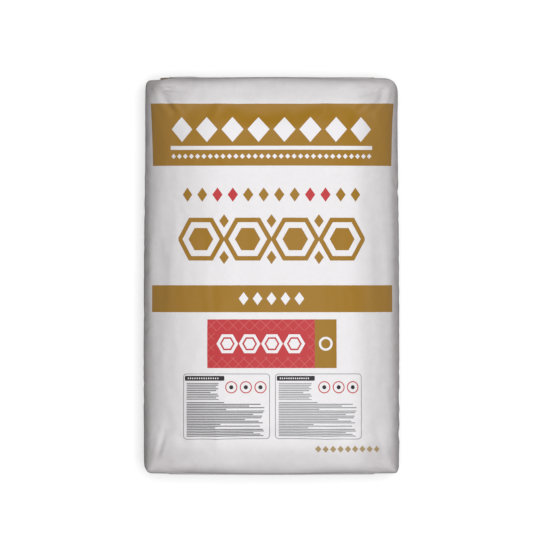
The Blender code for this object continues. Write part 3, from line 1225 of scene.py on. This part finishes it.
@dataclass
class Print:
    """The print on the face: bands, a frieze, a panel and two ruled boxes, in plain shapes.

    Rectangles and centres are in millimetres, and every other size is in metres. A layer is a mask
    with its ink, or with None for bare paper.
    """

    add: Callable[..., Any]           # add_node for the material
    place: Socket                     # the place on the paper
    edge: float = 0.25 * MM           # how far ink bleeds at an edge

    # Bands, and the frieze with its marks between them
    first_band: Area = Area(-197.5, 201.5, 169.5, 266.3)
    large_row: Row = Row(Area(-160.0, 160.0, 206.0, 245.0), 8, 34 * MM)
    rule: Area = Area(-160.0, 160.0, 194.0, 200.0)
    small_row: Row = Row(Area(-160.0, 160.0, 180.0, 188.0), 32, 8 * MM)
    marks: Row = Row(Area(-144.0, 144.0, 114.0, 136.0), 12, 16 * MM)
    left_marks: Row = Row(Area(-96.0, -48.0, 114.0, 136.0), 2, 16 * MM)
    right_marks: Row = Row(Area(48.0, 96.0, 114.0, 136.0), 2, 16 * MM)
    frieze: Row = Row(Area(-147.0, 147.0, 18.0, 95.0), 4, 33 * MM, 7 * MM)
    frieze_top: Row = Row(Area(-110.25, 110.25, 74.0, 95.0), 3, 15 * MM)
    frieze_foot: Row = Row(Area(-110.25, 110.25, 18.0, 39.0), 3, 15 * MM)
    core: float = 0.52                # a hexagon's solid middle, as a share of its size
    second_band: Area = Area(-197.5, 201.5, -56.0, -14.5)
    centre_row: Row = Row(Area(-54.0, 54.0, -45.0, -25.0), 5, 15 * MM)

    # Panel
    panel: Area = Area(-99.5, 101.0, -142.0, -67.0)
    lattice_pitch: float = 12 * MM
    lattice_line: float = 1.0 * MM
    clear_field: Area = Area(-88.0, 56.0, -125.0, -84.0)
    clear_corner: float = 6 * MM
    panel_row: Row = Row(Area(-85.5, 52.5, -122.0, -87.0), 4, 14.5 * MM, 4.5 * MM)
    panel_block: Area = Area(67.0, 101.0, -142.0, -67.0)
    block_ring: Range = (84.0, -104.5)
    block_radius: float = 9 * MM
    block_line: float = 3.5 * MM

    # Ruled boxes
    left_box: RuledBox = RuledBox(
        Area(-137.5, -3.0, -252.0, -151.0), Ink.GREY,
        Area(2.2, 64.7, -10.5, -3.0), Area(6.0, 56.5, -8.4, -5.1))
    right_box: RuledBox = RuledBox(
        Area(6.0, 140.5, -252.0, -151.0), Ink.PALE_GREY,
        Area(2.2, 60.7, -10.5, -3.0), Area(6.0, 52.5, -8.4, -5.1))
    box_corner: float = 5 * MM
    box_line: float = 0.9 * MM
    header_corner: float = 1.5 * MM
    header_count: int = 14            # marks in a header
    header_size: float = 2.4 * MM
    first_bar: float = 0.37           # where the bars start, as a share of their pitch
    evenness: float = 3.0             # over 1, few bars are much shorter than the rest
    ring_radius: float = 8.6 * MM
    ring_line: float = 1.6 * MM
    dot_radius: float = 3.2 * MM      # of the dark dot in each ring

    foot_row: Row = Row(Area(66.0, 171.0, -273.5, -262.5), 9, 10 * MM)

    def inked(self, distance: Socket) -> Socket:
        """Turns a signed distance in metres, negative inside, to a mask from 0 to 1."""
        return self.add(MATH, distance, -1 / self.edge, 0.5, operation="MULTIPLY_ADD", use_clamp=True)

    def lined(self, distance: Socket, line: float) -> Socket:
        """Mask of a line, this many metres wide, where a signed distance is zero."""
        apart = self.add(MATH, distance, operation="ABSOLUTE")
        return self.inked(self.add(MATH, apart, line / 2, operation="SUBTRACT"))

    def from_edge(self, area: Area, corner: float) -> Socket:
        """Works out the signed distance to a rectangle with rounded corners.

        Args:
            area: The rectangle.
            corner: Its corner radius, or 0 for plain corners.

        Returns:
            The distance's socket.
        """
        half = tuple(max(h - corner, 0.0) for h in area.half)
        offset = self.add(VECTOR_MATH, self.place, area.middle, operation="SUBTRACT")
        folded = self.add(VECTOR_MATH, offset, operation="ABSOLUTE")
        past = self.add(VECTOR_MATH, folded, half, operation="SUBTRACT")
        parts = self.add(SPLIT, past)
        flat = self.add(MATH, parts.outputs[0], parts.outputs[1], operation="MAXIMUM")
        if corner == 0.0:
            return flat
        outer = self.add(VECTOR_MATH, past, (0.0, 0.0, 0.0), operation="MAXIMUM")
        length = self.add(VECTOR_MATH, outer, operation="LENGTH")
        inner = self.add(MATH, flat, 0.0, operation="MINIMUM")
        square = self.add(MATH, length, inner, operation="ADD")
        return self.add(MATH, square, corner, operation="SUBTRACT")

    def rectangle(self, area: Area, corner: float = 0.0) -> Socket:
        """Mask of a filled rectangle."""
        return self.inked(self.from_edge(area, corner))

    def within(self, area: Area, mask: Socket) -> Socket:
        """Keeps a mask to a rectangle."""
        return self.add(MATH, mask, self.rectangle(area), operation="MULTIPLY")

    def in_field(self, row: Row) -> tuple[Socket, Socket]:
        """Works out the place within a row's fields.

        Args:
            row: The row.

        Returns:
            How far it is across and up from the middle of its field, both without their signs.
        """
        pitch = 2 * row.area.half[0] / row.count
        parts = self.add(SPLIT, self.place)
        run = self.add(MATH, parts.outputs[0], row.area.left * MM + pitch / 2, operation="SUBTRACT")
        across = self.add(MATH, run, pitch / 2, operation="PINGPONG")
        rise = self.add(MATH, parts.outputs[1], row.area.middle[1], operation="SUBTRACT")
        return across, self.add(MATH, rise, operation="ABSOLUTE")

    def lozenges(self, row: Row) -> Socket:
        """Mask of a row of lozenges that are as high as their rectangle.

        Args:
            row: The row.

        Returns:
            The mask's socket.
        """
        across, up = self.in_field(row)
        share_up = self.add(MATH, up, row.size / 2 / row.area.half[1], operation="MULTIPLY")
        reach = self.add(MATH, across, share_up, operation="ADD")
        past = self.add(MATH, reach, row.size / 2, operation="SUBTRACT")
        # Across a slanted edge the distance is about 0.7 of that along X
        return self.within(row.area, self.inked(self.add(MATH, past, 0.7, operation="MULTIPLY")))

    def hexagons(self, row: Row) -> Socket:
        """Mask of a row of hexagon rings with a solid hexagon inside each.

        Args:
            row: The row.

        Returns:
            The mask's socket.
        """
        across, up = self.in_field(row)
        share_across = self.add(MATH, across, math.cos(math.pi / 6), operation="MULTIPLY")
        slanted = self.add(MATH, up, math.sin(math.pi / 6), share_across, operation="MULTIPLY_ADD")
        distance = self.add(MATH, slanted, up, operation="MAXIMUM")
        from_ring = self.add(MATH, distance, row.size - row.line / 2, operation="SUBTRACT")
        core = self.inked(self.add(MATH, distance, row.size * self.core, operation="SUBTRACT"))
        shape = self.add(MATH, self.lined(from_ring, row.line), core, operation="MAXIMUM")
        return self.within(row.area, shape)

    def lattice(self) -> Socket:
        """Mask of the panel's crossed diagonal lines.

        Returns:
            The mask's socket.
        """
        parts = self.add(SPLIT, self.place)
        masks = []
        for operation in ("ADD", "SUBTRACT"):
            slant = self.add(MATH, parts.outputs[0], parts.outputs[1], operation=operation)
            wave = self.add(MATH, slant, self.lattice_pitch / math.sqrt(2), operation="PINGPONG")
            past = self.add(MATH, wave, self.lattice_line / math.sqrt(2), operation="SUBTRACT")
            masks.append(self.inked(past))
        return self.within(self.panel, self.add(MATH, *masks, operation="MAXIMUM"))

    def ring(self, centre: Range, radius: float, line: float) -> Socket:
        """Mask of a ring, or of a dot where the line is twice the radius.

        Args:
            centre: Its centre, in millimetres from the middle of the printed face.
            radius: To the middle of its line.
            line: Its line's thickness.

        Returns:
            The mask's socket.
        """
        middle = (centre[0] * MM, centre[1] * MM, 0.0)
        from_middle = self.add(VECTOR_MATH, self.place, middle, operation="DISTANCE")
        return self.lined(self.add(MATH, from_middle, radius, operation="SUBTRACT"), line)

    def ruled_bars(self, area: Area, bars: Bars) -> Socket:
        """Mask of a block of ruled bars.

        Args:
            area: Where the block stands.
            bars: The bars.

        Returns:
            The mask's socket.
        """
        parts = self.add(SPLIT, self.place)
        rows = self.add(MATH, parts.outputs[1], bars.pitch, operation="DIVIDE")
        rows = self.add(MATH, rows, self.first_bar, operation="ADD")
        row = self.add(MATH, rows, operation="FLOOR")
        within = self.add(MATH, rows, operation="FRACT")
        bar = self.add(MATH, within, bars.thickness, operation="LESS_THAN")
        chance = self.add("ShaderNodeTexWhiteNoise", W=row, noise_dimensions="1D").outputs[0]
        uneven = self.add(MATH, chance, self.evenness, operation="POWER")
        missing = -2 * area.half[0] * (1 - bars.shortest)
        end = self.add(MATH, uneven, missing, area.right * MM, operation="MULTIPLY_ADD")
        shown = self.add(MATH, parts.outputs[0], end, operation="LESS_THAN")
        return self.within(area, self.add(MATH, bar, shown, operation="MULTIPLY"))

    def box(self, box: RuledBox) -> list[tuple[Socket, Ink | None]]:
        """Draws a box with its dark header, its ruled bars and its rings with dots.

        Args:
            box: The box.

        Returns:
            The box's layers.
        """
        area = box.area
        marks = Row(area.part(box.header_marks), self.header_count, self.header_size)
        layers = [
            (self.lined(self.from_edge(area, self.box_corner), self.box_line), Ink.GREY),
            (self.rectangle(area.part(box.header), self.header_corner), Ink.BLACK),
            (self.lozenges(marks), None),
        ]
        layers += [(self.ruled_bars(area.part(bars.area), bars), box.grey) for bars in box.bars]
        for across, up in box.rings:
            centre = (area.left + across, area.top + up)
            layers.append((self.ring(centre, self.ring_radius, self.ring_line), Ink.RED))
            layers.append((self.ring(centre, self.dot_radius / 2, self.dot_radius), Ink.BLACK))
        return layers

    def layers(self) -> list[tuple[Socket, Ink | None]]:
        """Draws the whole print.

        Returns:
            The layers in the order that they are laid.
        """
        return [
            (self.rectangle(self.first_band), Ink.GOLD),
            (self.lozenges(self.large_row), None),
            (self.rectangle(self.rule), None),
            (self.lozenges(self.small_row), None),
            (self.hexagons(self.frieze), Ink.GOLD),
            (self.lozenges(self.frieze_top), Ink.GOLD),
            (self.lozenges(self.frieze_foot), Ink.GOLD),
            (self.lozenges(self.marks), Ink.GOLD),
            (self.lozenges(self.left_marks), Ink.RED),
            (self.lozenges(self.right_marks), Ink.RED),
            (self.rectangle(self.second_band), Ink.GOLD),
            (self.lozenges(self.centre_row), None),
            (self.rectangle(self.panel), Ink.RED),
            (self.lattice(), Ink.ROSE),
            (self.rectangle(self.clear_field, self.clear_corner), Ink.RED),
            (self.hexagons(self.panel_row), None),
            (self.rectangle(self.panel_block), Ink.GOLD),
            (self.ring(self.block_ring, self.block_radius, self.block_line), None),
            *self.box(self.left_box),
            *self.box(self.right_box),
            (self.lozenges(self.foot_row), Ink.TAN),
        ]


@dataclass(frozen=True)
class PrintedKraft:
    """Bleached kraft paper, printed in flexo inks.

    White sack kraft is uncoated, so it is matt, a little cloudy where its fibres lie thicker, and
    faintly rough. The inks sink in, smooth it a little and let pinholes of paper through. Handling
    rubs cement dust into the edges. The same grey is painted over the shoulders, the sides and the
    ends as shade, and down the left side.
    """

    white: str = "E7E5E7"
    clouded: str = "E4E2E3"
    # the grey of the cement dust and of the painted shade
    dust_and_painted_shade: str = "938A8A"
    most_dust_and_shade: float = 0.85
    most_dust_and_shade_on_ink: float = 0.35    # ink seals the paper, so less dust clings to it, and the painted shade is lighter over ink too
    roughness: float = 0.62
    ink_roughness: float = 0.48
    specular: float = 0.16
    cloud: float = 7 * MM             # size of the cloudy patches
    fibre: float = 0.8 * MM           # fibres are 0.03 mm wide, drawn as coarse as the render shows
    relief: float = 0.05 * MM         # height of the clouds and fibres
    pinhole: float = 0.9 * MM         # gaps in the ink
    thinnest: float = 0.82            # how much ink covers in a gap
    dust_and_shade_patch_size: float = 16 * MM           # size of the patches of dust and painted shade
    uneven: Range = (0.88, 1.12)      # how much less and more dust and painted shade they hold
    print_size: float = 1.0165        # of the print on the paper, to its size as seen in the picture

    def make(self) -> bpy.types.Material:
        """Builds the printed paper's material.

        Returns:
            The material.
        """
        made, add, shader = new_material("bleached_kraft_printed")
        place = add("ShaderNodeUVMap", uv_map=PAPER_MAP)
        cloud = add(NOISE, Vector=place, Scale=1 / self.cloud, Detail=4.0).outputs[0]
        fibre = add(NOISE, Vector=place, Scale=1 / self.fibre, Detail=3.0).outputs[0]
        clouds = add(RAMP, cloud, 0.35, 0.68, 0.0, 1.0)
        colour = add(MIX, Factor=clouds, A=linear(self.white), B=linear(self.clouded), data_type="RGBA")
        gaps = add(NOISE, Vector=place, Scale=1 / self.pinhole, Detail=2.0).outputs[0]
        cover = add(RAMP, gaps, 0.22, 0.34, self.thinnest, 1.0)
        face = add(VECTOR_MATH, place, operation="SCALE", Scale=1 / self.print_size)
        inked = 0.0
        for mask, ink in Print(add, face).layers():
            coat = add(MATH, mask, cover, operation="MULTIPLY") if ink else mask
            paint = linear(ink.value if ink else self.white)
            colour = add(MIX, Factor=coat, A=colour, B=paint, data_type="RGBA")
            if ink:
                inked = add(MATH, inked, mask, operation="MAXIMUM")
            else:
                bare = add(MATH, 1.0, mask, operation="SUBTRACT")
                inked = add(MATH, inked, bare, operation="MULTIPLY")
        # dust and painted shade, as marked on the mesh, in patches and lighter over ink
        dust_and_shade = add(ATTRIBUTE, attribute_name=DUST_AND_SHADE).outputs["Fac"]
        dust_and_shade_patches = add(NOISE, Vector=place, Scale=1 / self.dust_and_shade_patch_size, Detail=9.0).outputs[0]
        patchiness = add(RAMP, dust_and_shade_patches, 0.30, 0.70, *self.uneven)
        dust_and_shade_amount = add(MATH, dust_and_shade, patchiness, operation="MULTIPLY")
        held = add(RAMP, inked, 0.0, 1.0, self.most_dust_and_shade, self.most_dust_and_shade_on_ink)
        dust_and_shade_amount = add(MATH, dust_and_shade_amount, held, operation="MULTIPLY", use_clamp=True)
        relief = add(MATH, cloud, 0.5, fibre, operation="MULTIPLY_ADD")
        feed(shader, {
            "Base Color": add(MIX, Factor=dust_and_shade_amount, A=colour, B=linear(self.dust_and_painted_shade), data_type="RGBA"),
            "Roughness": add(RAMP, inked, 0.0, 1.0, self.roughness, self.ink_roughness),
            "Specular IOR Level": self.specular,
            "Normal": add(BUMP, Strength=0.5, Distance=self.relief, Height=relief),
        })
        return made


@dataclass(frozen=True)
class MattFinish:
    """A matt surface with cloudy colour and fine relief, for bare paper and powder."""

    name: str
    light: str
    dark: str
    roughness: float
    cloud: float                      # size of the cloudy patches
    grain: float                      # size of the fibres or grains
    relief: float                     # their height
    dust_and_painted_shade: str = ""                    # the colour of the dust and painted shade where they are marked, if it takes any
    most_dust_and_shade: float = 0.85

    def make(self) -> bpy.types.Material:
        """Builds the material.

        Returns:
            The material.
        """
        made, add, shader = new_material(self.name)
        place = add("ShaderNodeTexCoord").outputs["Object"]
        cloud = add(NOISE, Vector=place, Scale=1 / self.cloud, Detail=4.0).outputs[0]
        grain = add(NOISE, Vector=place, Scale=1 / self.grain, Detail=3.0).outputs[0]
        share = add(MATH, cloud, 0.75, operation="MULTIPLY")
        share = add(MATH, grain, 0.25, share, operation="MULTIPLY_ADD")
        clouds = add(RAMP, share, 0.36, 0.64, 0.0, 1.0)
        colour = add(MIX, Factor=clouds, A=linear(self.light), B=linear(self.dark), data_type="RGBA")
        # dust and painted shade, as marked on the mesh
        if self.dust_and_painted_shade:
            dust_and_shade = add(ATTRIBUTE, attribute_name=DUST_AND_SHADE).outputs["Fac"]
            dust_and_shade_amount = add(MATH, dust_and_shade, self.most_dust_and_shade, operation="MULTIPLY")
            colour = add(MIX, Factor=dust_and_shade_amount, A=colour, B=linear(self.dust_and_painted_shade), data_type="RGBA")
        feed(shader, {
            "Base Color": colour,
            "Roughness": add(RAMP, share, 0.3, 0.7, self.roughness - 0.05, self.roughness + 0.05),
            "Normal": add(BUMP, Strength=0.5, Distance=self.relief, Height=grain),
        })
        return made


@dataclass(frozen=True)
class BareKraft(MattFinish):
    """Bleached sack kraft without print: uncoated, so matt and faintly cloudy, and it takes dust and painted
    shade.
    """

    name: str = "bleached_kraft_bare"
    light: str = "E8E6E6"
    dark: str = "DFDCDC"
    roughness: float = 0.66
    cloud: float = 14 * MM
    grain: float = 0.8 * MM           # fibres are 0.03 mm wide, drawn as coarse as the render shows
    relief: float = 0.05 * MM
    # the grey of the dust and of the painted shade
    dust_and_painted_shade: str = "938A8A"


@dataclass(frozen=True)
class BrownKraft(MattFinish):
    """Unbleached sack kraft: its longer, darker fibres give a warm brown with mottled clouds."""

    name: str = "brown_kraft_bare"
    light: str = "B08A5E"
    dark: str = "94704A"
    roughness: float = 0.70
    cloud: float = 9 * MM
    grain: float = 0.7 * MM           # coarser than its fibres, as in the white kraft
    relief: float = 0.06 * MM


@dataclass(frozen=True)
class CementPowder(MattFinish):
    """Loose cement: grains too fine to see, which give a dead matt grey with small clumps."""

    name: str = "cement_powder_loose"
    light: str = "A3A19B"
    dark: str = "8B8983"
    roughness: float = 0.95
    cloud: float = 12 * MM
    grain: float = 1.0 * MM           # the clumps, since a grain is 0.02 mm
    relief: float = 0.3 * MM


@dataclass
class Studio:
    """The pale floor, the soft light and the camera above the face."""

    frame_width: float = 0.84375      # what the picture's 540 pixels span at the sack's widest line
    lens: float = 400.0
    sensor: float = 36.0
    clip_end: float = 100.0
    aim: Range = (-0.0023, 0.0091)
    level: float = 0.058              # height of the sack's widest line
    floor_size: float = 60.0
    floor_seen: str = "CCCCCC"        # as the camera sees the floor
    floor_bounce: str = "949494"      # as its light falls on the sack
    floor_glow: float = 0.45
    surround: float = 0.12            # the surround's own light
    seen_surround: float = 1.05       # and as the camera sees it
    light_from: tuple[float, float, float] = (0.10, 0.02, 1.0)
    light_angle: float = 44.0
    light_strength: float = 3.05

    def build(self) -> None:
        """Adds the floor, the world, the light and the camera."""
        self.add_floor()
        self.add_world()
        self.add_light()
        self.add_camera()

    def add_floor(self) -> None:
        """Adds a pale floor of matt white paint, which isn't part of the object."""
        deselect_all()
        bpy.ops.mesh.primitive_plane_add(size=self.floor_size)
        floor = bpy.context.object
        floor.name = "studio_floor"
        made, add, shader = new_material("white_matt_paint")
        seen = add("ShaderNodeLightPath").outputs["Is Camera Ray"]
        bounce, shown = linear(self.floor_bounce), linear(self.floor_seen)
        feed(shader, {
            "Base Color": add(MIX, Factor=seen, A=bounce, B=shown, data_type="RGBA"),
            "Roughness": 0.9,
            "Specular IOR Level": 0.0,
            "Emission Color": (1.0, 1.0, 1.0, 1.0),
            "Emission Strength": add(MATH, seen, self.floor_glow, operation="MULTIPLY"),
        })
        floor.data.materials.append(made)

    def add_world(self) -> None:
        """Adds a dim white surround that looks bright where the camera sees it."""
        world = bpy.data.worlds.new("surround")
        bpy.context.scene.world = world
        world.use_nodes = True
        tree = world.node_tree
        seen = add_node(tree, "ShaderNodeLightPath").outputs["Is Camera Ray"]
        strength = add_node(tree, RAMP, seen, 0.0, 1.0, self.surround, self.seen_surround)
        feed(tree.nodes["Background"], {"Color": (1.0, 1.0, 1.0, 1.0), "Strength": strength})

    def add_light(self) -> None:
        """Adds a broad soft light overhead, a little from the right."""
        light = bpy.data.lights.new("overhead", "SUN")
        light.angle = math.radians(self.light_angle)
        light.energy = self.light_strength
        made = bpy.data.objects.new("overhead", light)
        bpy.context.scene.collection.objects.link(made)
        made.location = self.light_from
        made.rotation_euler = (-Vector(self.light_from)).to_track_quat("-Z", "Y").to_euler()

    def add_camera(self) -> None:
        """Adds a long lens straight above the face, with the picture's framing."""
        camera = bpy.data.cameras.new("camera")
        camera.lens = self.lens
        camera.sensor_width = self.sensor
        camera.clip_end = self.clip_end
        made = bpy.data.objects.new("camera", camera)
        bpy.context.scene.collection.objects.link(made)
        made.location = (*self.aim, self.level + self.frame_width * self.lens / self.sensor)
        bpy.context.scene.camera = made
        bpy.context.scene.view_settings.view_transform = "Standard"


def report(piece: bpy.types.Object) -> None:
    """Logs a finished piece and how many faces it has."""
    LOG.info("%s: %d faces", piece.name, len(piece.data.polygons))


def main() -> None:
    """Builds the studio, then the sack's pieces in order."""
    logging.basicConfig(level=logging.INFO, format="%(message)s")
    Studio().build()
    LOG.info("studio: floor, light and camera")
    printed, powder = PrintedKraft().make(), CementPowder().make()
    bare, brown = BareKraft().make(), BrownKraft().make()
    paper_sack = PaperSack()
    sack = paper_sack.build()
    report(sack)
    for maker, finish in (
        (CementFill(sack), powder),
        (BlockEnd(sack, End.VALVE), bare),
        (BlockEnd(sack, End.BASE), bare),
        (FillingSleeve(sack), brown),
        (BackSeam(sack), bare),
    ):
        for piece in maker.build():
            maker.dress(piece, finish)
            report(piece)
    paper_sack.dress(sack, printed)


if __name__ == "__main__":
    main()
